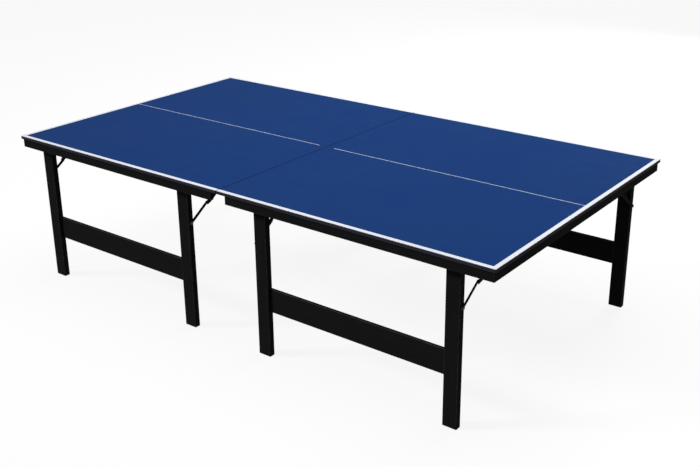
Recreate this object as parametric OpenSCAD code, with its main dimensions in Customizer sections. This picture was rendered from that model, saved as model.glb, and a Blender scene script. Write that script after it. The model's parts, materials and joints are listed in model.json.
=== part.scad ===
// Table tennis table in two halves. Each half is a board on a ring of rails, standing on two
// leg frames that fold inward under the board, and each leg is locked by a jointed steel stay.
// X runs along the table, Y across it and Z up. The origin is on the floor, under the middle of the table.
// The right half is the left half turned half a turn about Z.

/* [Table] */
// Length of the whole playing surface
table_l = 2740; // [2600:10:2740]
// Width of the playing surface
table_w = 1525; // [1480:5:1560]
// Height of the playing surface above the floor
table_h = 760; // [755:1:765]
// Thickness of each half's board
board_t = 16; // [14:1:19]
// Radius of the board's corners, seen from above
corner_r = 4; // [2:1:10]
// Gap between the two boards when the halves stand together
seam_gap = 1.5; // [1:0.5:3]

/* [Rails] */
// Height of the rails under each board
rail_h = 42; // [38:1:45]
// Thickness of the rails
rail_t = 18; // [15:1:20]
// Overhang of the board beyond the rails
rail_inset = 8; // [6:1:12]
// Length at the seam that the side rails leave free for a net clamp, on each half
clamp_room = 42; // [30:1:60]
// Distance from the seam to the rail that stiffens the board beside it
seam_rail_x = 100; // [90:1:105]
// Screws that hold each side rail to its board
side_rail_screws = 5; // [3:1:7]
// Screws that hold each cross rail to its board
cross_rail_screws = 4; // [3:1:6]

/* [Leg frames] */
// Width of a leg, along the table
leg_w = 66; // [60:1:68]
// Thickness of a leg, across the table
leg_t = 30; // [28:1:34]
// Radius along a leg's four long edges
leg_edge_r = 3; // [1:0.5:5]
// Width over the two legs of a frame
frame_w = 1036; // [1028:1:1038]
// Distance from the table's end to the leg frame that stands nearer to it
outer_frame_inset = 90; // [88:1:94]
// Distance from the table's end to the other leg frame of the same half
inner_frame_inset = 174; // [172:1:180]
// Distance from the board's long edge to the fold axis
fold_inset = 71.5; // [70:0.5:74]
// Depth of the fold axis below the board
fold_drop = 22; // [21:0.5:24]
// Height of the stretcher board
stretcher_h = 112; // [90:2:140]
// Thickness of the stretcher board
stretcher_t = 15; // [12:1:16]
// Height of the stretcher's lower edge above the floor
stretcher_z = 220; // [180:5:260]
// Step from the legs' outer face back to the stretcher's
stretcher_step = 13; // [8:1:13]

/* [Stays] */
// Distance from the fold axis down the leg to the stay's lower pivot
stay_drop = 192; // [180:1:200]
// Distance from the fold axis in to the stay's upper pivot
stay_run = 280; // [270:1:290]
// Width of the lower link
lower_link_w = 14; // [12:1:16]
// Thickness of the lower link
lower_link_t = 3; // [2.5:0.5:3]
// Width of the upper link, a shallow channel
upper_link_w = 20; // [18:1:22]
// Thickness of the upper link's sheet
upper_link_t = 2; // [1.5:0.5:2]
// Height of the lips along the upper link's edges
lip_h = 4; // [2:0.5:5]

/* [Brackets] */
// Thickness of the bracket steel
sheet_t = 2.5; // [2:0.5:3]
// Length of a leg bracket's plate, across the table
leg_plate_l = 68; // [64:1:70]
// Width of a leg bracket's two cheeks
cheek_w = 32; // [28:1:34]
// Width of a stay bracket
stay_bracket_w = 28; // [24:1:30]
// Length of a stay bracket's flange under the board
flange_l = 26; // [22:1:27]

/* [Hidden] */
half_l = table_l / 2;
board_z = table_h - board_t;
rail_z = board_z - rail_h;
fold_y = -table_w / 2 + fold_inset;
fold_z = board_z - fold_drop;
end_rail_x = -half_l + rail_inset;
side_rail_y = -table_w / 2 + rail_inset;

// Clearances: beside a leg, between faces on different bodies, and round pins and bolts
side_gap = 0.5;
face_gap = 0.3;
pin_gap = 0.1;
// Gap that keeps a rivet and the link that it is set in separate solids
set_gap = 0.05;

// Round parts: pivot bolt, stay bolt, upper stay rivet, knuckle rivet, stretcher bolt
pivot_r = 5;
pivot_head_r = 8;
pivot_head_h = 4;
stay_bolt_r = 4;
stay_bolt_head_r = 8;
stay_bolt_head_h = 3;
stay_bolt_depth = 42;
washer_r = 9;
washer_t = 1.5;
rivet_r = 4;
rivet_head_r = 7;
rivet_head_h = 2;
knuckle_r = 3;
knuckle_head_r = 6;
knuckle_tail_h = 1;
stretcher_bolt_r = 3;
stretcher_bolt_head_r = 5;
stretcher_bolt_head_h = 5;
stretcher_bolt_recess = 6;
stretcher_recess_r = 5.8;
stretcher_bolt_l = 110;
stretcher_bolt_margin = 30;
nut_h = 5;
thread_past_nut = 2;

// Wood screws: those of the brackets are countersunk, those of the rails sit in counterbores
screw_r = 2;
screw_head_r = 4;
screw_in_board = 11;
rail_screw_head_h = 3;
rail_bore_r = 5;
rail_bore_depth = 10;
rail_screw_margin = 60;

// A stay is straight with the leg down, and folded flat on itself along the board with the leg up.
// Both hold when the links are half the sum and half the difference of the two pivot distances.
stay_open = norm([stay_run, stay_drop]);
stay_folded = stay_run - stay_drop;
lower_link_l = (stay_open - stay_folded) / 2;
upper_link_l = (stay_open + stay_folded) / 2;
stay_angle = atan2(stay_drop, stay_run);

// Layers of a stay, as distances from the leg's side face
lower_link_x = washer_t + face_gap;
stay_bolt_head_x = lower_link_x + lower_link_t + face_gap;
upper_link_x = stay_bolt_head_x + stay_bolt_head_h + face_gap;
stay_bracket_x = upper_link_x - face_gap - sheet_t;

// Each frame: name, turn about Z, whether it is mirrored across the table, distance from the end
FRAMES = [
    ["near_left", 0, false, outer_frame_inset],
    ["far_left", 0, true, inner_frame_inset],
    ["near_right", 180, true, inner_frame_inset],
    ["far_right", 180, false, outer_frame_inset]
];
HALVES = [["left", 0], ["right", 180]];
LEGS = ["outer", "inner"];
HALF_NODES = [
    "board", "near_rail", "far_rail", "end_rail", "seam_rail", "wood_screws",
    "leg_brackets", "leg_pivot_bolts", "stay_brackets", "stay_rivets"
];
FRAME_NODES = ["stretcher", "stretcher_bolts", "stay_bolts"];
LEG_NODES = ["leg", "upper_link", "lower_link"];

BLUE = "#1f3c75";
BLACK = "#1b1b1c";
STEEL = "#2d2d30";
ZINC = "#8e9094";

// Placement ------------------------------------------------------------------------------------

// Puts a part drawn for the left half's near frame into frame f.
module in_frame(f) {
    rotate([0, 0, f[1]])
        if (f[2]) mirror([0, 1, 0]) children();
        else children();
}

// Puts a part drawn against a leg onto the outer or inner leg of a frame. It is drawn with its
// origin on the floor under the fold axis, at the leg's side face, and +X away from the frame.
module on_leg(f, leg) {
    outer_x = -half_l + f[3];
    in_frame(f)
        if (leg == "outer") translate([outer_x, fold_y, 0]) mirror([1, 0, 0]) children();
        else translate([outer_x + frame_w, fold_y, 0]) children();
}

// Repeats a part on the four legs of one half.
module on_legs_of(turn) {
    for (f = FRAMES)
        if (f[1] == turn)
            for (leg = LEGS) on_leg(f, leg) children();
}

// Shapes ---------------------------------------------------------------------------------------

// A rectangle with round corners, centred on the origin.
module rounded_rect(l, w, r) {
    square([l - 2 * r, w], center = true);
    square([l, w - 2 * r], center = true);
    for (x = [-1, 1], y = [-1, 1])
        translate([x * (l / 2 - r), y * (w / 2 - r)]) circle(r = r, $fn = 32);
}

// A flat bar with round ends, from the origin to [l, 0].
module bar_2d(l, w) {
    translate([0, -w / 2]) square([l, w]);
    circle(d = w, $fn = 48);
    translate([l, 0]) circle(d = w, $fn = 48);
}

// A cheek that hangs down from a plate: square at the top, round about its pivot hole.
module cheek_2d(w, drop, hole_r) {
    difference() {
        union() {
            translate([-w / 2, 0]) square([w, drop]);
            circle(d = w, $fn = 48);
        }
        circle(r = hole_r, $fn = 32);
    }
}

// Stands a flat outline up: its x becomes Y, its y becomes Z, and its thickness runs along +X.
module upright(t) {
    rotate([90, 0, 90]) linear_extrude(t) children();
}

// A round bar along +X from x0 to x1.
module rod(x0, x1, r, sides = 48) {
    translate([x0, 0, 0]) rotate([0, 90, 0]) cylinder(r = r, h = x1 - x0, $fn = sides);
}

// Boards and rails -----------------------------------------------------------------------------

// Spacing of n screws along a rail that runs from a to b.
function screw_row(a, b, n) = [
    for (i = [0 : n - 1])
        a + rail_screw_margin + i * (b - a - 2 * rail_screw_margin) / (n - 1)
];

side_screws = screw_row(end_rail_x, -clamp_room, side_rail_screws);
cross_screws = screw_row(side_rail_y + rail_t, -side_rail_y - rail_t, cross_rail_screws);

module board() {
    length = half_l - seam_gap / 2;
    color(BLUE)
        translate([-seam_gap / 2 - length / 2, 0, board_z])
        linear_extrude(board_t)
        rounded_rect(length, table_w, corner_r);
}

// The bore that a rail's screw goes up through, with its wider mouth for the head.
module rail_bore() {
    translate([0, 0, rail_z - 1]) cylinder(r = rail_bore_r, h = rail_bore_depth + 1, $fn = 32);
    translate([0, 0, rail_z]) cylinder(r = screw_r + pin_gap, h = rail_h + 1, $fn = 24);
}

// Side of the left half: -1 near, 1 far.
module side_rail(side) {
    y = side * (-side_rail_y - rail_t / 2);
    color(BLACK) difference() {
        translate([end_rail_x, y - rail_t / 2, rail_z])
            cube([-clamp_room - end_rail_x, rail_t, rail_h]);
        for (x = side_screws) translate([x, y, 0]) rail_bore();
    }
}

module cross_rail(x) {
    y = side_rail_y + rail_t;
    color(BLACK) difference() {
        translate([x, y, rail_z]) cube([rail_t, -2 * y, rail_h]);
        for (s = cross_screws) translate([x + rail_t / 2, s, 0]) rail_bore();
    }
}

// Wood screws ----------------------------------------------------------------------------------

module rail_screw() {
    head_z = rail_z + rail_bore_depth - rail_screw_head_h;
    translate([0, 0, head_z]) cylinder(r = screw_head_r, h = rail_screw_head_h, $fn = 32);
    translate([0, 0, head_z])
        cylinder(r = screw_r, h = board_z + screw_in_board - head_z, $fn = 24);
}

// Its head fills the countersink in a bracket's plate.
module bracket_screw() {
    translate([0, 0, board_z - sheet_t])
        cylinder(r1 = screw_head_r, r2 = screw_r, h = sheet_t, $fn = 32);
    translate([0, 0, board_z - sheet_t])
        cylinder(r = screw_r, h = sheet_t + screw_in_board, $fn = 24);
}

module bracket_screw_hole() {
    translate([0, 0, board_z - sheet_t])
        cylinder(r1 = screw_head_r + pin_gap, r2 = screw_r + pin_gap, h = sheet_t, $fn = 32);
}

// Places of the four screws in a leg bracket and the two in a stay bracket.
module leg_bracket_screws() {
    for (x = [-1, 1], y = [-1, 1])
        translate([-leg_w / 2 + x * (leg_w / 2 - 12), y * (leg_plate_l / 2 - 7), 0]) children();
}

module stay_bracket_screws() {
    for (y = [-1, 1])
        translate([stay_bracket_x + flange_l - 9, stay_run + y * (stay_bracket_w / 2 - 6), 0])
            children();
}

module wood_screws(turn) {
    color(ZINC) {
        rotate([0, 0, turn]) {
            for (x = side_screws, side = [-1, 1])
                translate([x, side * (-side_rail_y - rail_t / 2), 0]) rail_screw();
            for (x = [end_rail_x, -seam_rail_x - rail_t], s = cross_screws)
                translate([x + rail_t / 2, s, 0]) rail_screw();
        }
        on_legs_of(turn) {
            leg_bracket_screws() bracket_screw();
            stay_bracket_screws() bracket_screw();
        }
    }
}

// Brackets and their pins ----------------------------------------------------------------------

// A channel of sheet steel that hangs the leg between its two cheeks.
module leg_bracket() {
    inside_w = leg_w + 2 * side_gap;
    color(STEEL) difference() {
        union() {
            translate([-leg_w - side_gap - sheet_t, -leg_plate_l / 2, board_z - sheet_t])
                cube([inside_w + 2 * sheet_t, leg_plate_l, sheet_t]);
            for (x = [-leg_w - side_gap - sheet_t, side_gap])
                translate([x, 0, fold_z])
                    upright(sheet_t) cheek_2d(cheek_w, fold_drop - sheet_t / 2, pivot_r + pin_gap);
        }
        leg_bracket_screws() bracket_screw_hole();
    }
}

// The bolt that the leg turns on, with its nut on the frame's inner side.
module leg_pivot_bolt() {
    out_x = side_gap + sheet_t;
    in_x = -leg_w - side_gap - sheet_t;
    color(ZINC) translate([0, 0, fold_z]) {
        union() {
            rod(in_x - nut_h - thread_past_nut, out_x, pivot_r);
            rod(out_x, out_x + pivot_head_h, pivot_head_r);
        }
        difference() {
            rod(in_x - nut_h, in_x, pivot_head_r, 6);
            rod(in_x - nut_h - 1, in_x + 1, pivot_r + pin_gap / 2);
        }
    }
}

// An angle of sheet steel: a flange under the board and a cheek for the upper link's rivet.
module stay_bracket() {
    color(STEEL) difference() {
        union() {
            translate([stay_bracket_x, stay_run - stay_bracket_w / 2, board_z - sheet_t])
                cube([flange_l, stay_bracket_w, sheet_t]);
            translate([stay_bracket_x, stay_run, fold_z])
                upright(sheet_t) cheek_2d(stay_bracket_w, fold_drop - sheet_t / 2, rivet_r + pin_gap);
        }
        stay_bracket_screws() bracket_screw_hole();
    }
}

// The rivet joins the bracket's cheek and the upper link, with a head on each side.
module stay_rivet() {
    link_face = upper_link_x + upper_link_t + face_gap;
    color(ZINC) translate([0, stay_run, fold_z]) {
        rod(stay_bracket_x - rivet_head_h, link_face + rivet_head_h, rivet_r);
        rod(stay_bracket_x - rivet_head_h, stay_bracket_x, rivet_head_r);
        rod(link_face, link_face + rivet_head_h, rivet_head_r);
    }
}

// Leg frames -----------------------------------------------------------------------------------

// Heights of the two bolts at each end of the stretcher, and how far they lie from the fold axis.
stretcher_bolt_z = [
    stretcher_z + stretcher_bolt_margin,
    stretcher_z + stretcher_h - stretcher_bolt_margin
];
stretcher_y = -leg_t / 2 + stretcher_step;
stretcher_bolt_y = stretcher_y + stretcher_t / 2;

// The leg's top is round about the fold axis, so that it turns under the board.
module leg() {
    color(BLACK) difference() {
        intersection() {
            translate([-leg_w / 2, 0, 0])
                linear_extrude(fold_z + leg_t)
                rounded_rect(leg_w, leg_t, leg_edge_r);
            translate([-leg_w - 1, 0, 0]) upright(leg_w + 2) {
                translate([-leg_t / 2, 0]) square([leg_t, fold_z]);
                translate([0, fold_z]) circle(d = leg_t, $fn = 64);
            }
        }
        translate([0, 0, fold_z]) rod(-leg_w - 1, 1, pivot_r + pin_gap);
        translate([0, 0, fold_z - stay_drop]) rod(-stay_bolt_depth, 1, stay_bolt_r + pin_gap);
        for (z = stretcher_bolt_z) translate([0, stretcher_bolt_y, z]) {
            rod(-leg_w - 1, 1, stretcher_bolt_r + pin_gap);
            rod(-stretcher_bolt_recess, 1, stretcher_recess_r);
        }
    }
}

module stretcher(f) {
    left_x = -half_l + f[3] + leg_w;
    length = frame_w - 2 * leg_w;
    bore_l = stretcher_bolt_l - leg_w;
    color(BLACK) in_frame(f) difference() {
        translate([left_x, fold_y + stretcher_y, stretcher_z])
            cube([length, stretcher_t, stretcher_h]);
        for (z = stretcher_bolt_z, x = [left_x - 1, left_x + length - bore_l])
            translate([x, fold_y + stretcher_bolt_y, z])
                rod(0, bore_l + 1, stretcher_bolt_r + pin_gap);
    }
}

module stretcher_bolts(f) {
    color(STEEL) for (leg = LEGS, z = stretcher_bolt_z)
        on_leg(f, leg) translate([-stretcher_bolt_recess, stretcher_bolt_y, z]) {
            rod(stretcher_bolt_recess - stretcher_bolt_l + 1, 0, stretcher_bolt_r);
            rod(0, stretcher_bolt_head_h, stretcher_bolt_head_r);
        }
}

// The bolt in the side of each leg that the stay's lower link turns on, and its washer.
module stay_bolts(f) {
    color(ZINC) for (leg = LEGS) on_leg(f, leg) translate([0, 0, fold_z - stay_drop]) {
        union() {
            rod(1 - stay_bolt_depth, stay_bolt_head_x, stay_bolt_r);
            rod(stay_bolt_head_x, stay_bolt_head_x + stay_bolt_head_h, stay_bolt_head_r);
        }
        difference() {
            rod(0, washer_t, washer_r);
            rod(-1, washer_t + 1, stay_bolt_r + pin_gap);
        }
    }
}

// Stays ----------------------------------------------------------------------------------------

// The lower link reaches from the leg's bolt up to the knuckle. The knuckle's tail is riveted
// into its end and stops inside it, so that the two links can part while they turn.
module lower_link() {
    translate([lower_link_x, 0, fold_z - stay_drop]) rotate([stay_angle, 0, 0]) {
        color(STEEL) difference() {
            upright(lower_link_t) bar_2d(lower_link_l, lower_link_w);
            rod(-1, lower_link_t + 1, stay_bolt_r + pin_gap);
            translate([0, lower_link_l, 0]) rod(-1, lower_link_t + 1, knuckle_r + pin_gap);
        }
        color(ZINC) translate([0, lower_link_l, 0]) {
            rod(-knuckle_tail_h, lower_link_t, knuckle_r);
            rod(-knuckle_tail_h, -set_gap, knuckle_head_r);
        }
    }
}

// The upper link is a shallow channel from the bracket's rivet down to the knuckle. It carries
// the knuckle's rivet and the spacer that keeps it clear of the leg's bolt when it is folded.
module upper_link() {
    spacer_h = upper_link_x - stay_bolt_head_x;
    lip_l = upper_link_l - 1.6 * upper_link_w;
    translate([upper_link_x, stay_run, fold_z]) rotate([stay_angle, 0, 0]) mirror([0, 1, 0]) {
        color(STEEL) difference() {
            union() {
                upright(upper_link_t) bar_2d(upper_link_l, upper_link_w);
                for (z = [-upper_link_w / 2, upper_link_w / 2 - upper_link_t])
                    translate([0, (upper_link_l - lip_l) / 2, z])
                        cube([upper_link_t + lip_h, lip_l, upper_link_t]);
            }
            rod(-1, upper_link_t + 1, rivet_r + pin_gap);
            translate([0, upper_link_l, 0]) rod(-1, upper_link_t + 1, knuckle_r + pin_gap);
        }
        color(ZINC) translate([0, upper_link_l, 0]) {
            rod(-spacer_h, upper_link_t + rivet_head_h, knuckle_r);
            rod(-spacer_h, -set_gap, knuckle_head_r);
            rod(upper_link_t + set_gap, upper_link_t + rivet_head_h, knuckle_head_r);
        }
    }
}

// The table ------------------------------------------------------------------------------------

for (h = HALVES) {
    turn = [0, 0, h[1]];
    near = h[1] == 0 ? -1 : 1;
    rotate(turn) board();
    rotate(turn) side_rail(near);
    rotate(turn) side_rail(-near);
    rotate(turn) cross_rail(end_rail_x);
    rotate(turn) cross_rail(-seam_rail_x - rail_t);
    wood_screws(h[1]);
    on_legs_of(h[1]) leg_bracket();
    on_legs_of(h[1]) leg_pivot_bolt();
    on_legs_of(h[1]) stay_bracket();
    on_legs_of(h[1]) stay_rivet();
}
for (f = FRAMES) {
    stretcher(f);
    stretcher_bolts(f);
    stay_bolts(f);
    for (l = LEGS) {
        on_leg(f, l) leg();
        on_leg(f, l) upper_link();
        on_leg(f, l) lower_link();
    }
}
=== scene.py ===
"""The looks of the table tennis table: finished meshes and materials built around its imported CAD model.

Lengths are in metres. X runs along the table, Y across it and Z up. The right half is the left half turned
half a turn. Hardware is modelled once, beside one leg, and then placed at all eight legs.
"""

import json
from math import cos, hypot, pi, radians, sin
from types import SimpleNamespace

import bmesh
import bpy
from mathutils import Matrix, Vector


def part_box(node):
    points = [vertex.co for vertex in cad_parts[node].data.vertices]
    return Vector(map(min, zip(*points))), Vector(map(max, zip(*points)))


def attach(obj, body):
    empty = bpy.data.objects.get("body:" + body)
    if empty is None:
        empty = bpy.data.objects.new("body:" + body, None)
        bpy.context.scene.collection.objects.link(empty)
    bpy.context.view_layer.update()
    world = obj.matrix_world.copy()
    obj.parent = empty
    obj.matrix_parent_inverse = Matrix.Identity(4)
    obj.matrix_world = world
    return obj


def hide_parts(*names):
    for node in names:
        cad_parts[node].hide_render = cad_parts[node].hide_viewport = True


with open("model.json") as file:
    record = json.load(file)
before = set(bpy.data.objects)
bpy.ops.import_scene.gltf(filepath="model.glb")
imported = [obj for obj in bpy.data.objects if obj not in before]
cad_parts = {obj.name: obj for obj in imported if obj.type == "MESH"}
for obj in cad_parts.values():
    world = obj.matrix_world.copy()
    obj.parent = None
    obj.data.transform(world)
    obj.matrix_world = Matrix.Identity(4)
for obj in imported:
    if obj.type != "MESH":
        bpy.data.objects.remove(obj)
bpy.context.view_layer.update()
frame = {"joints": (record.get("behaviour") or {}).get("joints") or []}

MM = 0.001
JOINT_AT = {j["name"]: Vector(j["pos_m"]) for j in frame["joints"] if "pos_m" in j}
HALVES = {"left": ("near_left", "far_left"), "right": ("near_right", "far_right")}
LEGS = ("outer", "inner")

# Where the lights point
TABLE_MIDDLE = Vector((0, 0, 0.6))

# Camera: where it stands, how it is turned, and its lens
CAMERA_AT = (2.950, -3.655, 2.255)
CAMERA_YAW = radians(37.563)
CAMERA_PITCH = radians(20.586)
CAMERA_ROLL = radians(-0.510)
CAMERA_LENS = 52.27
CAMERA_SHIFT = -0.05

# Painted lines: the border's width, the centre line's width, and its gap on each side of the seam
BORDER_W = 20 * MM
CENTRE_W = 3 * MM
CENTRE_GAP = 44 * MM
# Depth of the painted highlight: a paler strip along the top of a board's edge
EDGE_HIGHLIGHT_H = 3 * MM


# Materials ------------------------------------------------------------------------------------------


class Look:
    """A material, with short names for the nodes that its pattern is made of."""

    def __init__(self, name, **shader):
        self.material = bpy.data.materials.new(name)
        self.material.use_nodes = True
        self.nodes = self.material.node_tree.nodes
        self.links = self.material.node_tree.links
        self.surface = self.nodes["Principled BSDF"]
        for socket, value in shader.items():
            self.surface.inputs[socket.replace("_", " ")].default_value = value

    def node(self, kind, inputs, **settings):
        made = self.nodes.new("ShaderNode" + kind)
        for key, value in settings.items():
            setattr(made, key, value)
        for key, value in inputs.items():
            if isinstance(value, bpy.types.NodeSocket):
                self.links.new(value, made.inputs[key])
            else:
                made.inputs[key].default_value = value
        return made

    def place(self, stretch=(1, 1, 1)):
        """The piece's own coordinates in metres, stretched along some of them."""
        coordinates = self.node("TexCoord", {}).outputs["Object"]
        return self.node("Mapping", {"Vector": coordinates, "Scale": stretch}).outputs["Vector"]

    def noise(self, at, scale, detail=3.0, roughness=0.5, distortion=0.0):
        inputs = {
            "Vector": at, "Scale": scale, "Detail": detail,
            "Roughness": roughness, "Distortion": distortion,
        }
        return self.node("TexNoise", inputs).outputs["Fac"]

    def remap(self, value, low, high, to_low, to_high):
        inputs = {
            "Value": value, "From Min": low, "From Max": high,
            "To Min": to_low, "To Max": to_high,
        }
        return self.node("MapRange", inputs).outputs["Result"]

    def product(self, a, b):
        return self.node("Math", {0: a, 1: b}, operation="MULTIPLY").outputs[0]

    def mix(self, share, a, b):
        inputs = {
            0: share,
            6: a if isinstance(a, bpy.types.NodeSocket) else (*a, 1),
            7: b if isinstance(b, bpy.types.NodeSocket) else (*b, 1),
        }
        return self.node("Mix", inputs, data_type="RGBA").outputs[2]

    def bump(self, height, depth, strength=1.0, over=None):
        inputs = {"Height": height, "Distance": depth, "Strength": strength}
        if over:
            inputs["Normal"] = over
        return self.node("Bump", inputs).outputs["Normal"]

    def finish(self, **sockets):
        for socket, value in sockets.items():
            self.links.new(value, self.surface.inputs[socket.replace("_", " ")])
        return self.material


def table_paint(name, colour, shade, rough=(0.40, 0.52)):
    """Rolled satin paint: a faint orange peel, soft patches of sheen and a slow drift of colour."""
    look = Look(name, Specular_IOR_Level=0.10)
    at = look.place()
    drift = look.noise(at, 1.7, 2)
    peel = look.noise(at, 420, 2)
    specks = look.noise(at, 1500, 1)
    sheen = look.noise(at, 5, 4, 0.6)
    base = look.mix(look.remap(drift, 0.35, 0.65, 0, 1), colour, shade)
    base = look.mix(look.remap(specks, 0.62, 0.80, 0, 0.35), base, [c * 0.6 for c in colour])
    normal = look.bump(peel, 0.10 * MM, 0.35)
    normal = look.bump(specks, 0.03 * MM, 0.25, over=normal)
    return look.finish(
        Base_Color=base, Roughness=look.remap(sheen, 0.3, 0.7, *rough), Normal=normal
    )


def painted_wood(name, grain, rubbed_and_highlighted=False):
    """Black paint on softwood. The grain telegraphs through it. When asked, the arrises wear thin in patches
    and are lightened all along as a painted highlight.
    """
    look = Look(name, Specular_IOR_Level=0.08)
    stretch = [0.045 if axis == grain else 1 for axis in "xyz"]
    at = look.place(stretch)
    fibres = look.noise(at, 260, 5, 0.6)
    rings = look.noise(at, 42, 3, 0.55, 0.4)
    dust = look.noise(look.place(), 900, 2)
    base = look.mix(look.remap(fibres, 0.3, 0.7, 0, 1), (0.0106, 0.0108, 0.0112), (0.0148, 0.0151, 0.0155))
    base = look.mix(look.remap(rings, 0.5, 0.72, 0, 0.4), base, (0.0174, 0.0177, 0.0181))
    # Painted highlight with wear: every arris is lightened at least 30 percent towards pale grey, and
    # further in wear patches along the fibres.
    if rubbed_and_highlighted:
        patches = look.noise(look.place(), 30, 4, 0.65)
        wear_and_highlight = look.product(look.remap(patches, 0.42, 0.64, 0.3, 1), look.remap(fibres, 0.35, 0.6, 0.5, 1))
        base = look.mix(wear_and_highlight, base, (0.088, 0.089, 0.091))
    normal = look.bump(rings, 0.25 * MM, 0.3)
    normal = look.bump(fibres, 0.10 * MM, 0.4, over=normal)
    normal = look.bump(dust, 0.03 * MM, 0.3, over=normal)
    return look.finish(
        Base_Color=base, Roughness=look.remap(fibres, 0.3, 0.7, 0.40, 0.60), Normal=normal
    )


def edge_band(name, colour, shade):
    """The lacquered edge of a board, with fine marks along the saw's way."""
    look = Look(name, Specular_IOR_Level=0.35)
    along = look.noise(look.place((1, 1, 30)), 40, 4, 0.6)
    peel = look.noise(look.place(), 700, 2)
    base = look.mix(look.remap(along, 0.35, 0.7, 0, 1), colour, shade)
    normal = look.bump(along, 0.10 * MM, 0.3)
    normal = look.bump(peel, 0.05 * MM, 0.3, over=normal)
    return look.finish(
        Base_Color=base, Roughness=look.remap(along, 0.3, 0.7, 0.34, 0.48), Normal=normal
    )


def chipboard():
    """The bare underside of a board: pressed chips in several browns."""
    look = Look("chipboard underside", Specular_IOR_Level=0.2)
    at = look.place()
    chips = look.node(
        "TexVoronoi", {"Vector": look.place((1, 0.45, 1)), "Scale": 380.0, "Randomness": 1.0}
    )
    fine = look.noise(at, 900, 3, 0.6)
    slow = look.noise(at, 6, 3)
    tone = look.node("SeparateColor", {"Color": chips.outputs["Color"]}).outputs[0]
    base = look.mix(tone, (0.155, 0.092, 0.048), (0.330, 0.225, 0.130))
    base = look.mix(look.remap(fine, 0.55, 0.75, 0, 0.6), base, (0.085, 0.048, 0.026))
    base = look.mix(look.remap(slow, 0.35, 0.65, 0, 0.3), base, (0.205, 0.135, 0.075))
    normal = look.bump(fine, 0.15 * MM, 0.5)
    return look.finish(Base_Color=base, Roughness=look.remap(fine, 0.3, 0.7, 0.72, 0.92), Normal=normal)


def coated_steel(name, chipped=False):
    """Black stove enamel on sheet steel, chipped to bare metal along its edges."""
    look = Look(name, Specular_IOR_Level=0.12)
    at = look.place()
    peel = look.noise(at, 800, 2)
    smear = look.noise(at, 60, 4, 0.6)
    base = look.mix(look.remap(smear, 0.35, 0.7, 0, 1), (0.0050, 0.0050, 0.0054), (0.0115, 0.0115, 0.0120))
    normal = look.bump(peel, 0.06 * MM, 0.4)
    sockets = {}
    if chipped:
        chips = look.remap(look.noise(at, 180, 4, 0.7), 0.56, 0.62, 0, 1)
        base = look.mix(chips, base, (0.16, 0.155, 0.15))
        sockets["Metallic"] = look.product(chips, 0.9)
    return look.finish(
        Base_Color=base, Roughness=look.remap(smear, 0.3, 0.7, 0.42, 0.60), Normal=normal, **sockets
    )


def plated_steel(name, colour, tint, rough):
    """Plated fasteners: clouded plating with fine turning marks."""
    look = Look(name, Metallic=1.0)
    at = look.place()
    clouds = look.noise(at, 130, 4, 0.6)
    scratches = look.noise(look.place((0.1, 1, 1)), 1600, 3, 0.6)
    base = look.mix(look.remap(clouds, 0.35, 0.65, 0, 1), colour, tint)
    normal = look.bump(scratches, 0.02 * MM, 0.4)
    return look.finish(Base_Color=base, Roughness=look.remap(clouds, 0.3, 0.7, *rough), Normal=normal)


def bare_wood():
    """The raw wood inside a bore."""
    look = Look("bored wood", Specular_IOR_Level=0.2)
    fibres = look.noise(look.place((1, 1, 0.1)), 500, 4, 0.6)
    base = look.mix(fibres, (0.060, 0.040, 0.022), (0.170, 0.115, 0.065))
    rough = look.remap(fibres, 0.3, 0.7, 0.7, 0.9)
    return look.finish(Base_Color=base, Roughness=rough, Normal=look.bump(fibres, 0.1 * MM, 0.5))


FIELD = table_paint("playing field paint", (0.0070, 0.0385, 0.1660), (0.0080, 0.0400, 0.1620))
LINE = table_paint("line paint", (0.78, 0.81, 0.86), (0.74, 0.77, 0.82), (0.45, 0.60))
EDGE = edge_band("board edge lacquer", (0.028, 0.026, 0.046), (0.042, 0.040, 0.066))
# Painted highlight: a paler lacquer for the top few millimetres of each board edge.
EDGE_TOP_HIGHLIGHT = edge_band("painted highlight on the top of the board edge", (0.100, 0.098, 0.130), (0.150, 0.147, 0.185))
# Painted shade: a near-black lacquer for the seam's edges and roundings, where the gap between the boards is
# in shade.
SEAM_SHADE = edge_band("painted shade on the edges at the seam", (0.0020, 0.0040, 0.0110), (0.0040, 0.0070, 0.0170))
UNDERSIDE = chipboard()
BORED = bare_wood()
WOOD = {axis: painted_wood(f"black paint, grain along {axis}", axis) for axis in "xyz"}
# Arrises: wear patches and a painted highlight that lightens every arris.
ARRIS_WEAR_AND_HIGHLIGHT = {axis: painted_wood(f"rubbed arris, grain along {axis}", axis, rubbed_and_highlighted=True) for axis in "xyz"}
ENAMEL = coated_steel("black enamel")
CHIPPED = coated_steel("chipped enamel", chipped=True)
ZINC = plated_steel("zinc plating", (0.40, 0.41, 0.42), (0.30, 0.305, 0.30), (0.30, 0.48))
BLACK_ZINC = plated_steel("black zinc plating", (0.035, 0.035, 0.038), (0.060, 0.058, 0.056), (0.32, 0.50))


# Mesh tools -----------------------------------------------------------------------------------------

SHARP = radians(32)
SMOOTH_LIMIT = radians(38)
# Turns an outline drawn in XY and raised along Z so that it stands in YZ and is thick along X
UPRIGHT = Matrix(((0, 0, 1, 0), (1, 0, 0, 0), (0, 1, 0, 0), (0, 0, 0, 1)))
# Turns a shape that was revolved about X so that it points up
UPWARD = Matrix.Rotation(-pi / 2, 4, "Y")


def arc(x, y, r, start, end, steps):
    """Points on an arc, from start to end in degrees."""
    angles = [radians(start + (end - start) * i / steps) for i in range(steps + 1)]
    return [(x + r * cos(a), y + r * sin(a)) for a in angles]


def rounded(x0, y0, x1, y1, r, steps=5):
    """The outline of a rectangle with round corners."""
    return (
        arc(x1 - r, y1 - r, r, 0, 90, steps) + arc(x0 + r, y1 - r, r, 90, 180, steps)
        + arc(x0 + r, y0 + r, r, 180, 270, steps) + arc(x1 - r, y0 + r, r, 270, 360, steps)
    )


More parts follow.
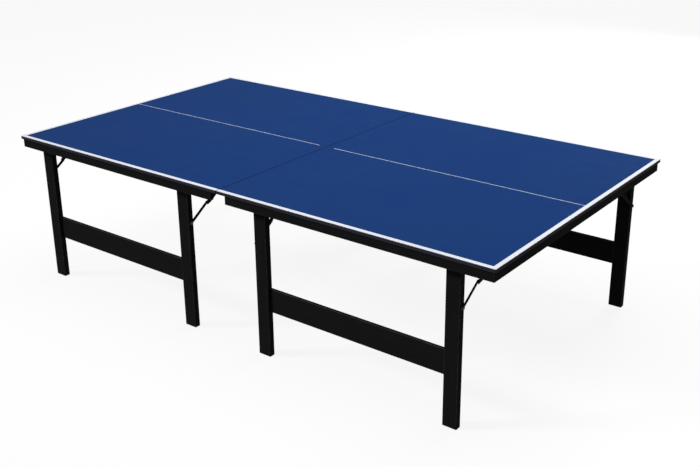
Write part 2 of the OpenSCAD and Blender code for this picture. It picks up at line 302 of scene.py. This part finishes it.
def prism(outline, low, high, place=Matrix()):
    """A solid raised from an outline, then put in its place."""
    bm = bmesh.new()
    floor = [bm.verts.new((x, y, low)) for x, y in outline]
    roof = [bm.verts.new((x, y, high)) for x, y in outline]
    bm.faces.new(floor[::-1])
    bm.faces.new(roof)
    for i, j in zip(range(len(outline)), [*range(1, len(outline)), 0]):
        bm.faces.new((floor[i], floor[j], roof[j], roof[i]))
    bmesh.ops.transform(bm, matrix=place, verts=bm.verts)
    bmesh.ops.recalc_face_normals(bm, faces=bm.faces)
    return bm


def block(low, high):
    (x0, y0, z0), (x1, y1, z1) = low, high
    return prism([(x0, y0), (x1, y0), (x1, y1), (x0, y1)], z0, z1)


def turned(profile, sides=32, place=Matrix()):
    """A solid revolved about X from points of (distance along X, radius). A radius of zero closes it."""
    bm = bmesh.new()
    rings = []
    for x, r in profile:
        count = sides if r else 1
        angles = [2 * pi * (i + 0.5) / sides for i in range(count)]
        rings.append([bm.verts.new((x, r * cos(a), r * sin(a))) for a in angles])
    for a, b in zip(rings, rings[1:]):
        for i in range(sides):
            j = (i + 1) % sides
            ring = (a[i % len(a)], a[j % len(a)], b[j % len(b)], b[i % len(b)])
            bm.faces.new(list(dict.fromkeys(ring)))
    bmesh.ops.transform(bm, matrix=place, verts=bm.verts)
    bmesh.ops.recalc_face_normals(bm, faces=bm.faces)
    return bm


def soften(bm, radius, steps=2, material=-1):
    """Rounds every sharp edge of a solid."""
    bm.normal_update()
    sharp = [e for e in bm.edges if e.is_manifold and e.calc_face_angle() > SHARP]
    bmesh.ops.bevel(
        bm, geom=sharp, offset=radius, segments=steps, profile=0.5,
        affect="EDGES", clamp_overlap=True, material=material,
    )
    return bm


def as_object(bm, name="tool"):
    mesh = bpy.data.meshes.new(name)
    bm.to_mesh(mesh)
    bm.free()
    made = bpy.data.objects.new(name, mesh)
    bpy.context.scene.collection.objects.link(made)
    return made


def combine(base, tool, operation, inside=0):
    """Joins, cuts or intersects two solids. Faces that the tool leaves get the material index inside."""
    for face in tool.faces:
        face.material_index = inside
    base, tool = as_object(base), as_object(tool)
    modifier = base.modifiers.new("combine", "BOOLEAN")
    modifier.operation = operation
    modifier.object = tool
    modifier.solver = "EXACT"
    evaluated = base.evaluated_get(bpy.context.evaluated_depsgraph_get())
    bm = bmesh.new()
    bm.from_mesh(evaluated.to_mesh())
    evaluated.to_mesh_clear()
    for used in (base, tool):
        mesh = used.data
        bpy.data.objects.remove(used)
        bpy.data.meshes.remove(mesh)
    return bm


def add(bm, part, place=Matrix()):
    """Adds a copy of a solid to bm, in its place."""
    mesh = bpy.data.meshes.new("part")
    part.to_mesh(mesh)
    old_verts, old_faces = len(bm.verts), len(bm.faces)
    bm.from_mesh(mesh)
    bpy.data.meshes.remove(mesh)
    bmesh.ops.transform(bm, matrix=place, verts=bm.verts[old_verts:])
    if place.determinant() < 0:
        bmesh.ops.reverse_faces(bm, faces=bm.faces[old_faces:])
    return bm


def gather(*parts):
    """Several solids as one bmesh."""
    bm = bmesh.new()
    for part in parts:
        add(bm, part)
    return bm


def painted(bm, index):
    """Sets the material index of every face."""
    for face in bm.faces:
        face.material_index = index
    return bm


def piece(name, bm, materials, body, replaces):
    """A finished piece that rides on a body and stands for CAD nodes."""
    made = as_object(bm, name)
    for material in materials:
        made.data.materials.append(material)
    made.data.polygons.foreach_set("use_smooth", [True] * len(made.data.polygons))
    made.data.set_sharp_from_angle(angle=SMOOTH_LIMIT)
    normals = made.modifiers.new("weighted normals", "WEIGHTED_NORMAL")
    normals.keep_sharp = True
    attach(made, body)
    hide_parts(replaces)
    return made


# What is known of a leg -----------------------------------------------------------------------------


def leg_facts(frame_name, leg):
    """A leg's size and the place of its own axes: X away from its frame, Y inward, Z up, with the origin
    on the floor under the fold axis, at the leg's outer side face."""
    low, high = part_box(f"{frame_name}_{leg}_leg")
    centre = (low + high) / 2
    frame_low, frame_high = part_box(f"{frame_name}_stretcher")
    out = 1 if 2 * centre.x > frame_low.x + frame_high.x else -1
    inward = -1 if centre.y > 0 else 1
    side_x = high.x if out > 0 else low.x
    foot = JOINT_AT[f"{frame_name}_{leg}_stay_foot"]
    head = JOINT_AT[f"{frame_name}_{leg}_stay_head"]
    return SimpleNamespace(
        place=Matrix.Translation((side_x, centre.y, 0)) @ Matrix.Diagonal((out, inward, 1, 1)),
        width=high.x - low.x,
        depth=high.y - low.y,
        axis_z=head.z,
        drop=head.z - foot.z,
        run=abs(head.y - foot.y),
    )


LEG = leg_facts("near_left", "outer")
BOARD_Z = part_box("left_board")[0].z
BOARD_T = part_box("left_board")[1].z - BOARD_Z
RAIL_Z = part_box("left_near_rail")[0].z
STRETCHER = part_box("near_left_stretcher")

# Sizes that the hardware shares with the CAD model
SIDE_GAP = 0.5 * MM
FACE_GAP = 0.3 * MM
BORE_GAP = 0.1 * MM
SHEET_T = 2.5 * MM
PLATE_L = 68 * MM
CHEEK_W = 32 * MM
PIVOT_R = 5 * MM
STAY_BOLT_R = 4 * MM
STAY_BOLT_IN = 41 * MM
BOLT_HEX_R = 8 * MM
WASHER_R = 9 * MM
WASHER_T = 1.5 * MM
LOWER_T = 3 * MM
LOWER_W = 14 * MM
UPPER_T = 2 * MM
UPPER_W = 20 * MM
LIP_H = 4 * MM
HEAD_T = 3 * MM
KNUCKLE_R = 3 * MM
KNUCKLE_HEAD_R = 6 * MM
RIVET_R = 4 * MM
RIVET_HEAD_R = 7 * MM
RIVET_HEAD_T = 2 * MM
STAY_BRACKET_W = 28 * MM
FLANGE_L = 26 * MM
BOLT_MARGIN = 30 * MM
BOLT_RECESS = 6 * MM
BOLT_RECESS_R = 5.8 * MM
BOLT_R = 3 * MM
BOLT_HEAD_R = 5 * MM
BOLT_IN = 103 * MM
SCREW_R = 2 * MM
SCREW_HEAD_R = 4 * MM
SCREW_IN_BOARD = 11 * MM
RAIL_BORE_R = 5 * MM
RAIL_BORE_H = 10 * MM
RAIL_MARGIN = 60 * MM
SIDE_RAIL_SCREWS = 5
CROSS_RAIL_SCREWS = 4
# How far a board's edges are rounded, and so how wide the painted shade at the seam is
EDGE_ROUND_AND_SEAM_SHADE = 1.2 * MM
LOWER_X = WASHER_T + FACE_GAP
HEAD_X = LOWER_X + LOWER_T + FACE_GAP
UPPER_X = HEAD_X + HEAD_T + FACE_GAP
STAY_BRACKET_X = UPPER_X - FACE_GAP - SHEET_T
STRETCHER_BOLT_Y = (STRETCHER[0].y + STRETCHER[1].y) / 2 - LEG.place.translation.y
STRETCHER_BOLT_Z = (STRETCHER[0].z + BOLT_MARGIN, STRETCHER[1].z - BOLT_MARGIN)

# A stay's links are half the sum and half the difference of its pivots' distances, open and folded.
STAY_OPEN = hypot(LEG.run, LEG.drop)
STAY_FOLDED = LEG.run - LEG.drop
LOWER_L = (STAY_OPEN - STAY_FOLDED) / 2
UPPER_L = (STAY_OPEN + STAY_FOLDED) / 2
ALONG_STAY = Vector((0, LEG.run, LEG.drop)).normalized()


# Fasteners ------------------------------------------------------------------------------------------


def rod(x0, x1, r, sides=32, place=Matrix()):
    """A plain round bar along X."""
    return turned([(x0, 0), (x0, r), (x1, r), (x1, 0)], sides, place)


def hole(y, z, r, x0, x1):
    """A round tool along X for a hole."""
    return rod(x0, x1, r, 32, Matrix.Translation((0, y, z)))


def hexagon_head(x, r, height, place):
    """A six-sided head or nut with its corners chamfered, its washer face at x."""
    cone = turned(
        [(x, 0), (x, r), (x + 0.72 * height, r * 1.02), (x + height, r * 0.86), (x + height, 0)],
        48, place,
    )
    return combine(rod(x, x + height, r, 6, place), cone, "INTERSECT")


def domed_head(x, r, height, steps=5):
    """A rivet's head, as a profile from its rim to its top."""
    rim = 0.25 * height
    return [(x, r)] + [
        (x + rim + (height - rim) * sin(a), r * cos(a))
        for a in (pi / 2 * i / steps for i in range(steps))
    ] + [(x + height, 0)]


def threaded(start, end, r, pitch):
    """A thread's profile: ridges and roots, one pair for each turn."""
    depth = 0.55 * pitch
    points = []
    for i in range(int((end - start) / pitch)):
        x = start + i * pitch
        points += [(x + 0.2 * pitch, r - depth), (x + 0.7 * pitch, r)]
    return points


def wood_screw(length):
    """A countersunk screw with a cross recess. It points up from the face of its head at zero."""
    tip = 4 * SCREW_R
    profile = [(0, 0), (0, SCREW_HEAD_R), (0.3 * MM, SCREW_HEAD_R), (2.4 * MM, SCREW_R)]
    profile += threaded(4 * MM, length - tip, SCREW_R, 1.6 * MM) + [(length, 0)]
    screw = turned(profile, 12, UPWARD)
    for turn in (0, pi / 2):
        slot = block((-2.1 * MM, -0.45 * MM, -1 * MM), (2.1 * MM, 0.45 * MM, 1.3 * MM))
        bmesh.ops.transform(slot, matrix=Matrix.Rotation(turn + pi / 5, 4, "Z"), verts=slot.verts)
        screw = combine(screw, slot, "DIFFERENCE")
    return screw


def pivot_bolt():
    """The bolt that a leg turns on, with its hexagon head outside and its nut inside the frame."""
    at = Matrix.Translation((0, 0, LEG.axis_z))
    outside = SIDE_GAP + SHEET_T
    inside = -LEG.width - SIDE_GAP - SHEET_T
    nut_h, tail, pitch = 5 * MM, 2 * MM, 1.5 * MM
    thread_end = inside - nut_h - tail
    shank = turned(
        [(thread_end, 0), (thread_end, PIVOT_R - 0.9 * MM)]
        + threaded(thread_end, inside - FACE_GAP, PIVOT_R, pitch)
        + [(inside, PIVOT_R), (outside + 1 * MM, PIVOT_R), (outside + 1 * MM, 0)],
        24, at,
    )
    head = hexagon_head(outside, BOLT_HEX_R, 4 * MM, at)
    nut_at = Matrix.Translation((inside, 0, LEG.axis_z)) @ Matrix.Rotation(pi, 4, "Z")
    nut = hexagon_head(0, BOLT_HEX_R, nut_h, nut_at)
    nut_bore = rod(inside - 9 * MM, inside + MM, PIVOT_R + BORE_GAP, 24, at)
    return gather(combine(shank, head, "UNION"), combine(nut, nut_bore, "DIFFERENCE"))


def stay_bolt():
    """The bolt in the side of a leg that the lower link turns on, and the washer behind the link."""
    at = Matrix.Translation((0, 0, LEG.axis_z - LEG.drop))
    shank = turned(
        [(-STAY_BOLT_IN, 0), (-STAY_BOLT_IN, STAY_BOLT_R - MM), (MM - STAY_BOLT_IN, STAY_BOLT_R),
         (HEAD_X + MM, STAY_BOLT_R), (HEAD_X + MM, 0)],
        24, at,
    )
    bolt = combine(shank, hexagon_head(HEAD_X, BOLT_HEX_R, HEAD_T, at), "UNION")
    rim = 0.25 * MM
    washer = turned(
        [(0, 0), (0, WASHER_R - rim), (rim, WASHER_R), (WASHER_T - rim, WASHER_R),
         (WASHER_T, WASHER_R - rim), (WASHER_T, 0)],
        40, at,
    )
    bore = rod(-MM, 2 * WASHER_T, STAY_BOLT_R + BORE_GAP, 24, at)
    return gather(bolt, combine(washer, bore, "DIFFERENCE"))


def stay_rivet():
    """The rivet that joins the stay's bracket and its upper link."""
    back = STAY_BRACKET_X
    front = UPPER_X + UPPER_T + FACE_GAP
    profile = [(2 * back - x, r) for x, r in reversed(domed_head(back, RIVET_HEAD_R, RIVET_HEAD_T))]
    profile += [(back, RIVET_R), (front, RIVET_R)] + domed_head(front, RIVET_HEAD_R, RIVET_HEAD_T)
    return turned(profile, 32, Matrix.Translation((0, LEG.run, LEG.axis_z)))


def stretcher_bolts():
    """The two socket-head bolts that hold a leg to its stretcher, sunk in their recesses."""
    bolts = bmesh.new()
    for z in STRETCHER_BOLT_Z:
        at = Matrix.Translation((-BOLT_RECESS, STRETCHER_BOLT_Y, z))
        bolt = turned(
            [(-BOLT_IN, 0), (-BOLT_IN, BOLT_R - MM), (MM - BOLT_IN, BOLT_R), (0, BOLT_R), (0, BOLT_HEAD_R),
             (4.4 * MM, BOLT_HEAD_R), (5 * MM, BOLT_HEAD_R - 0.6 * MM), (5 * MM, 0)],
            32, at,
        )
        socket = rod(2 * MM, 6 * MM, 2.8 * MM, 6, at)
        add(bolts, combine(bolt, socket, "DIFFERENCE"))
    return bolts


def countersink(x, y):
    """A tool for a countersunk screw hole in a plate under the board."""
    low = BOARD_Z - SHEET_T
    mouth_r, bore_r = SCREW_HEAD_R + BORE_GAP, SCREW_R + BORE_GAP
    return turned(
        [(low - MM, 0), (low - MM, mouth_r), (low + 0.3 * MM, mouth_r),
         (BOARD_Z, bore_r), (BOARD_Z + MM, bore_r), (BOARD_Z + MM, 0)],
        24, Matrix.Translation((x, y, 0)) @ UPWARD,
    )


# Brackets -------------------------------------------------------------------------------------------

LEG_BRACKET_SCREWS = [
    (-LEG.width / 2 + x * (LEG.width / 2 - 12 * MM), y * (PLATE_L / 2 - 7 * MM))
    for x in (-1, 1) for y in (-1, 1)
]
STAY_BRACKET_SCREWS = [
    (STAY_BRACKET_X + FLANGE_L - 9 * MM, LEG.run + y * (STAY_BRACKET_W / 2 - 6 * MM)) for y in (-1, 1)
]


def tongue(y, width, x0, x1):
    """A solid that is straight above the fold axis and round below it, to trim bent sheet with."""
    half = width / 2
    outline = [(y + half, BOARD_Z + MM), (y - half, BOARD_Z + MM)] + arc(y, LEG.axis_z, half, 180, 360, 16)
    return prism(outline, x0, x1, UPRIGHT)


def leg_bracket():
    """A channel of sheet steel over the leg's top: a plate under the board with two bent cheeks."""
    x0, x1 = -LEG.width - SIDE_GAP - SHEET_T, SIDE_GAP + SHEET_T
    low = LEG.axis_z - CHEEK_W / 2 - MM
    outer, inner = 3.2 * MM, 0.7 * MM
    section = (
        [(x0, low), (x0 + SHEET_T, low)]
        + arc(x0 + SHEET_T + inner, BOARD_Z - SHEET_T - inner, inner, 180, 90, 4)
        + arc(x1 - SHEET_T - inner, BOARD_Z - SHEET_T - inner, inner, 90, 0, 4)
        + [(x1 - SHEET_T, low), (x1, low)]
        + arc(x1 - outer, BOARD_Z - outer, outer, 0, 90, 6)
        + arc(x0 + outer, BOARD_Z - outer, outer, 90, 180, 6)
    )
    stand_in_xz = Matrix(((1, 0, 0, 0), (0, 0, -1, 0), (0, 1, 0, 0), (0, 0, 0, 1)))
    channel = prism(section, -CHEEK_W / 2, CHEEK_W / 2, stand_in_xz)
    channel = combine(channel, tongue(0, CHEEK_W, x0 - MM, x1 + MM), "INTERSECT")
    plate = prism(
        rounded(x0 + outer, -PLATE_L / 2, x1 - outer, PLATE_L / 2, 5 * MM), BOARD_Z - SHEET_T, BOARD_Z
    )
    bracket = combine(channel, plate, "UNION")
    bracket = combine(bracket, hole(0, LEG.axis_z, PIVOT_R + BORE_GAP, x0 - MM, x1 + MM), "DIFFERENCE")
    for x, y in LEG_BRACKET_SCREWS:
        bracket = combine(bracket, countersink(x, y), "DIFFERENCE")
    return soften(bracket, 0.3 * MM, 2, material=1)


def stay_bracket():
    """An angle of sheet steel: a flange under the board and a cheek for the upper link's rivet."""
    x0, x1 = STAY_BRACKET_X, STAY_BRACKET_X + FLANGE_L
    low = LEG.axis_z - STAY_BRACKET_W / 2 - MM
    outer, inner = 3.2 * MM, 0.7 * MM
    half = STAY_BRACKET_W / 2
    section = (
        [(x0, low), (x0 + SHEET_T, low)]
        + arc(x0 + SHEET_T + inner, BOARD_Z - SHEET_T - inner, inner, 180, 90, 4)
        + [(x1, BOARD_Z - SHEET_T), (x1, BOARD_Z)]
        + arc(x0 + outer, BOARD_Z - outer, outer, 90, 180, 6)
    )
    stand_in_xz = Matrix(((1, 0, 0, 0), (0, 0, -1, LEG.run), (0, 1, 0, 0), (0, 0, 0, 1)))
    bracket = prism(section, -half, half, stand_in_xz)
    bracket = combine(bracket, tongue(LEG.run, STAY_BRACKET_W, x0 - MM, x1 + MM), "INTERSECT")
    corners = rounded(x0 - 9 * MM, LEG.run - half, x1, LEG.run + half, 5 * MM)
    envelope = prism(corners, LEG.axis_z - half - 2 * MM, BOARD_Z + 2 * MM)
    bracket = combine(bracket, envelope, "INTERSECT")
    rivet_bore = hole(LEG.run, LEG.axis_z, RIVET_R + BORE_GAP, x0 - MM, x0 + 2 * SHEET_T)
    bracket = combine(bracket, rivet_bore, "DIFFERENCE")
    for x, y in STAY_BRACKET_SCREWS:
        bracket = combine(bracket, countersink(x, y), "DIFFERENCE")
    return soften(bracket, 0.3 * MM, 2, material=1)


# Stays ----------------------------------------------------------------------------------------------


def along_stay(origin, direction):
    """Places a link that is drawn with its length along Y and its thickness along X."""
    up = Vector((1, 0, 0)).cross(direction)
    place = Matrix((Vector((1, 0, 0)), direction, up)).transposed().to_4x4()
    place.translation = origin
    return place


def lower_link():
    """The flat lower link, with the tail of the knuckle's rivet in its upper end."""
    bar = prism(
        arc(0, 0, LOWER_W / 2, 90, 270, 12) + arc(LOWER_L, 0, LOWER_W / 2, 270, 450, 12), 0, LOWER_T, UPRIGHT
    )
    bar = combine(bar, hole(0, 0, STAY_BOLT_R + BORE_GAP, -MM, 2 * LOWER_T), "DIFFERENCE")
    soften(bar, 0.5 * MM, 2, material=1)
    slack = 0.05 * MM
    rivet = [(-x, r) for x, r in reversed(domed_head(slack, KNUCKLE_HEAD_R, 0.95 * MM, 4))]
    rivet += [(-slack, KNUCKLE_R), (LOWER_T, KNUCKLE_R), (LOWER_T, 0)]
    tail = turned(rivet, 24, Matrix.Translation((0, LOWER_L, 0)))
    bar = combine(bar, hole(LOWER_L, 0, KNUCKLE_R + BORE_GAP, -MM, 2 * LOWER_T), "DIFFERENCE")
    link = gather(bar, painted(tail, 2))
    place = along_stay(Vector((LOWER_X, 0, LEG.axis_z - LEG.drop)), ALONG_STAY)
    bmesh.ops.transform(link, matrix=place, verts=link.verts)
    return link


def upper_link():
    """The pressed upper link: a shallow channel whose lips fade out towards its round ends."""
    half = UPPER_W / 2
    fade = 14 * MM
    stations = [half * (1 - cos(pi / 2 * i / 8)) - half for i in range(9)]
    stations += [fade * i / 6 for i in range(1, 7)]
    stations += [UPPER_L - s for s in reversed(stations)]
    bm = bmesh.new()
    rings = []
    for y in stations:
        over = max(0, -y, y - UPPER_L)
        w = max(half ** 2 - over ** 2, (0.4 * MM) ** 2) ** 0.5
        rise = min(1, max(0, min(y, UPPER_L - y) / fade))
        lip = UPPER_T + LIP_H * rise * rise * (3 - 2 * rise) + 0.02 * MM
        wall = min(UPPER_T, 0.4 * w)
        section = [(0, -w), (0, w), (lip, w), (lip, w - wall), (UPPER_T, w - wall - 0.01 * MM),
                   (UPPER_T, wall + 0.01 * MM - w), (lip, wall - w), (lip, -w)]
        rings.append([bm.verts.new((x, y, z)) for x, z in section])
    for a, b in zip(rings, rings[1:]):
        for i, j in zip(range(8), [*range(1, 8), 0]):
            bm.faces.new((a[i], a[j], b[j], b[i]))
    bm.faces.new(rings[0])
    bm.faces.new(rings[-1][::-1])
    bmesh.ops.recalc_face_normals(bm, faces=bm.faces)
    soften(bm, 0.35 * MM, 2, material=1)
    for y, r in ((0, RIVET_R), (UPPER_L, KNUCKLE_R)):
        bm = combine(bm, hole(y, 0, r + BORE_GAP, -MM, 2 * UPPER_T), "DIFFERENCE")
    spacer = UPPER_X - HEAD_X
    chamfer, slack = 0.3 * MM, 0.05 * MM
    rivet = [(-spacer, 0), (-spacer, KNUCKLE_HEAD_R - chamfer), (chamfer - spacer, KNUCKLE_HEAD_R)]
    rivet += [(-chamfer - slack, KNUCKLE_HEAD_R), (-slack, KNUCKLE_HEAD_R - chamfer)]
    rivet += [(-slack, KNUCKLE_R), (UPPER_T + slack, KNUCKLE_R)]
    rivet += domed_head(UPPER_T + slack, KNUCKLE_HEAD_R, 1.95 * MM)
    knuckle = turned(rivet, 24, Matrix.Translation((0, UPPER_L, 0)))
    link = gather(bm, painted(knuckle, 2))
    place = along_stay(Vector((UPPER_X, LEG.run, LEG.axis_z)), -ALONG_STAY)
    bmesh.ops.transform(link, matrix=place, verts=link.verts)
    return link


# Woodwork -------------------------------------------------------------------------------------------


def leg_wood():
    """A leg, round at the top about its pivot, with recesses for the stretcher's bolts."""
    half = LEG.depth / 2
    outline = [(-half, 0), (half, 0)] + arc(0, LEG.axis_z, half, 0, 180, 24)
    wood = soften(prism(outline, -LEG.width, 0, UPRIGHT), 2.8 * MM, 3, material=1)
    for z in STRETCHER_BOLT_Z:
        recess = hole(STRETCHER_BOLT_Y, z, BOLT_RECESS_R, -BOLT_RECESS, MM)
        wood = combine(wood, recess, "DIFFERENCE", inside=2)
    return wood


def screw_row(low, high, count):
    """Places of screws along a rail, the same distance from each of its ends."""
    first, last = low + RAIL_MARGIN, high - RAIL_MARGIN
    return [first + i * (last - first) / (count - 1) for i in range(count)]


def rail_screws(node):
    """Where the screws of a rail stand."""
    low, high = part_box(node)
    middle = (low + high) / 2
    if high.x - low.x > high.y - low.y:
        return [(x, middle.y) for x in screw_row(low.x, high.x, SIDE_RAIL_SCREWS)]
    return [(middle.x, y) for y in screw_row(low.y, high.y, CROSS_RAIL_SCREWS)]


def rail(half, name):
    """One rail with its counterbores."""
    node = f"{half}_{name}_rail"
    low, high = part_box(node)
    wood = soften(block(low, high), 1.4 * MM, 2, material=1)
    for x, y in rail_screws(node):
        at = Matrix.Translation((x, y, 0)) @ UPWARD
        bore = rod(RAIL_Z - MM, RAIL_Z + RAIL_BORE_H, RAIL_BORE_R, 24, at)
        wood = combine(wood, bore, "DIFFERENCE", inside=2)
    grain = "x" if high.x - low.x > high.y - low.y else "y"
    piece(f"{node}_wood", wood, (WOOD[grain], ARRIS_WEAR_AND_HIGHLIGHT[grain], BORED), f"{half}_half", node)


def board_zones(low, high):
    """The outline of a board's painted zones: its seam side, and the lines where its paint changes."""
    end = min(low.x, high.x, key=lambda x: -abs(x))
    seam = max(low.x, high.x, key=lambda x: -abs(x))
    side = 1 if end > 0 else -1
    return SimpleNamespace(
        seam=seam,
        side=side,
        border_x=end - side * BORDER_W,
        centre_x=seam + side * CENTRE_GAP,
        border_y=(low.y + BORDER_W, high.y - BORDER_W),
        highlight_z=high.z - EDGE_HIGHLIGHT_H,
    )


def board_material(face, zones):
    """Which of the board's materials a face gets."""
    at = face.calc_center_median()
    in_seam_shade = abs(at.x - zones.seam) < EDGE_ROUND_AND_SEAM_SHADE
    in_border = zones.side * (at.x - zones.border_x) > 0 or not zones.border_y[0] < at.y < zones.border_y[1]
    in_centre = abs(at.y) < CENTRE_W / 2 and zones.side * (at.x - zones.centre_x) > 0
    if face.normal.z < -0.35:
        return UNDERSIDE
    # Painted shade: faces within the rounding of the seam edge, the blue top's rounding included, get the
    # near-black seam lacquer.
    if in_seam_shade:
        return SEAM_SHADE
    if face.normal.z > 0.35:
        return LINE if in_border or in_centre else FIELD
    # Painted highlight: the top few millimetres of the edge get the paler lacquer.
    return EDGE_TOP_HIGHLIGHT if at.z > zones.highlight_z else EDGE


def playing_board(half):
    """A board with its painted field and lines, dark edge with a painted highlight along its top and painted
    shade at the seam, and bare underside, as one closed mesh.
    """
    low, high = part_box(f"{half}_board")
    zones = board_zones(low, high)
    bm = soften(prism(rounded(low.x, low.y, high.x, high.y, 4 * MM), low.z, high.z), EDGE_ROUND_AND_SEAM_SHADE, 3)
    cuts = [(Vector((x, 0, 0)), Vector((1, 0, 0))) for x in (zones.border_x, zones.centre_x)]
    cuts += [
        (Vector((0, y, 0)), Vector((0, 1, 0)))
        for y in (zones.border_y[0], -CENTRE_W / 2, CENTRE_W / 2, zones.border_y[1])
    ]
    cuts.append((Vector((0, 0, zones.highlight_z)), Vector((0, 0, 1))))
    for point, normal in cuts:
        bmesh.ops.bisect_plane(bm, geom=[*bm.verts, *bm.edges, *bm.faces], plane_co=point, plane_no=normal)
    bm.normal_update()
    materials = [FIELD, LINE, EDGE, UNDERSIDE, EDGE_TOP_HIGHLIGHT, SEAM_SHADE]
    for face in bm.faces:
        face.material_index = materials.index(board_material(face, zones))
    piece(f"{half}_playing_board", bm, materials, f"{half}_half", f"{half}_board")


# The table ------------------------------------------------------------------------------------------

PARTS = {
    "leg": leg_wood(), "pivot": pivot_bolt(), "leg_bracket": leg_bracket(), "stay_bracket": stay_bracket(),
    "rivet": stay_rivet(), "stay_bolt": stay_bolt(), "bolts": stretcher_bolts(),
    "lower": lower_link(), "upper": upper_link(),
    "rail_screw": wood_screw(BOARD_Z + SCREW_IN_BOARD - RAIL_Z - RAIL_BORE_H + 3 * MM),
    "bracket_screw": wood_screw(SHEET_T + SCREW_IN_BOARD),
}


def at_each(part, places):
    """Copies of one part, in one bmesh."""
    bm = bmesh.new()
    for place in places:
        add(bm, PARTS[part], place)
    return bm


def build_half(half, frames):
    body = f"{half}_half"
    places = [leg_facts(f, leg).place for f in frames for leg in LEGS]
    playing_board(half)
    for name in ("near", "far", "end", "seam"):
        rail(half, name)
    screws = bmesh.new()
    head_z = RAIL_Z + RAIL_BORE_H - 3 * MM
    for name in ("near", "far", "end", "seam"):
        for x, y in rail_screws(f"{half}_{name}_rail"):
            add(screws, PARTS["rail_screw"], Matrix.Translation((x, y, head_z)))
    for place in places:
        for x, y in LEG_BRACKET_SCREWS + STAY_BRACKET_SCREWS:
            add(screws, PARTS["bracket_screw"], place @ Matrix.Translation((x, y, BOARD_Z - SHEET_T)))
    piece(f"{half}_screw_set", screws, [ZINC], body, f"{half}_wood_screws")
    for part, name, materials, slot, node in (
        ("leg_bracket", "leg_bracket_set", (ENAMEL, CHIPPED), "bracket_steel", "leg_brackets"),
        ("stay_bracket", "stay_bracket_set", (ENAMEL, CHIPPED), "bracket_steel", "stay_brackets"),
        ("pivot", "pivot_bolt_set", [ZINC], "fasteners", "leg_pivot_bolts"),
        ("rivet", "stay_rivet_set", [ZINC], "fasteners", "stay_rivets"),
    ):
        piece(f"{half}_{name}", at_each(part, places), materials, body, f"{half}_{node}")


def build_frame(name):
    body = f"{name}_frame"
    places = {leg: leg_facts(name, leg).place for leg in LEGS}
    stretcher = f"{name}_stretcher"
    board = soften(block(*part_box(stretcher)), 1.8 * MM, 3, material=1)
    piece(f"{stretcher}_board", board, (WOOD["x"], ARRIS_WEAR_AND_HIGHLIGHT["x"]), body, stretcher)
    for part, material, fastener in (
        ("bolts", BLACK_ZINC, "stretcher_bolt"), ("stay_bolt", ZINC, "stay_bolt"),
    ):
        bolts = at_each(part, places.values())
        piece(f"{name}_{fastener}_set", bolts, [material], body, f"{name}_{fastener}s")
    leg_materials = (WOOD["z"], ARRIS_WEAR_AND_HIGHLIGHT["z"], BORED)
    link_materials = (ENAMEL, CHIPPED, BLACK_ZINC)
    for leg, place in places.items():
        node = f"{name}_{leg}_leg"
        piece(f"{node}_wood", at_each("leg", [place]), leg_materials, body, node)
        for part in ("lower", "upper"):
            link = f"{name}_{leg}_{part}_link"
            piece(f"{link}_steel", at_each(part, [place]), link_materials, link, link)


for half_name, frame_names in HALVES.items():
    build_half(half_name, frame_names)
    for frame_name in frame_names:
        build_frame(frame_name)
for part in PARTS.values():
    part.free()


# Studio ---------------------------------------------------------------------------------------------


def studio_floor():
    """A pale floor that glows, so that the shadows on it stay light. It adds no light to the table."""
    look = Look(
        "studio floor", Roughness=0.9, Specular_IOR_Level=0.0,
        Emission_Color=(1, 1, 1, 1), Emission_Strength=0.885,
    )
    tone = look.noise(look.place(), 0.7, 2)
    base = look.mix(tone, (0.12, 0.12, 0.12), (0.13, 0.13, 0.13))
    look.finish(Base_Color=base)
    floor = as_object(prism(arc(0, 0, 60, 0, 357.5, 143), -0.02, 0), "studio_floor")
    floor.data.materials.append(look.material)
    floor.visible_diffuse = False
    floor.visible_glossy = False


def studio_sky():
    """Pale like the floor's far end where the camera sees it, and a dim grey as light."""
    world = bpy.data.worlds.new("studio")
    world.use_nodes = True
    nodes, links = world.node_tree.nodes, world.node_tree.links
    background = nodes["Background"]
    path = nodes.new("ShaderNodeLightPath")
    shade = nodes.new("ShaderNodeMapRange")
    shade.inputs["To Min"].default_value = 0.12
    shade.inputs["To Max"].default_value = 0.935
    links.new(path.outputs["Is Camera Ray"], shade.inputs["Value"])
    links.new(shade.outputs["Result"], background.inputs["Strength"])
    background.inputs["Color"].default_value = (1, 1, 1, 1)
    bpy.context.scene.world = world


def aim(made, at):
    """Puts a light in its place, facing the middle of the table."""
    made.location = at
    made.rotation_euler = (TABLE_MIDDLE - Vector(at)).to_track_quat("-Z", "Y").to_euler()
    bpy.context.scene.collection.objects.link(made)


def sun(name, at, softness, strength):
    light = bpy.data.lights.new(name, "SUN")
    light.angle = radians(softness)
    light.energy = strength
    aim(bpy.data.objects.new(name, light), at)


def softbox(name, at, size, watts):
    """A square area light that leaves no image of itself on the table."""
    light = bpy.data.lights.new(name, "AREA")
    light.shape = "SQUARE"
    light.size = size
    light.energy = watts
    made = bpy.data.objects.new(name, light)
    made.visible_glossy = False
    aim(made, at)


def photo_camera():
    data = bpy.data.cameras.new("camera")
    data.lens = CAMERA_LENS
    data.sensor_width = 36
    data.shift_y = CAMERA_SHIFT
    made = bpy.data.objects.new("camera", data)
    made.matrix_world = (
        Matrix.Translation(CAMERA_AT)
        @ Matrix.Rotation(CAMERA_YAW, 4, "Z")
        @ Matrix.Rotation(pi / 2 - CAMERA_PITCH, 4, "X")
        @ Matrix.Rotation(CAMERA_ROLL, 4, "Z")
    )
    bpy.context.scene.collection.objects.link(made)
    bpy.context.scene.camera = made


studio_floor()
studio_sky()
sun("key", (-4.2, -3.4, 3.9), 12, 1.7)
softbox("overhead", (0.2, 0.3, 4.8), 4.5, 152)
softbox("back", (0.6, 6.5, 2.6), 3.0, 270)
photo_camera()
bpy.context.scene.view_settings.view_transform = "Standard"
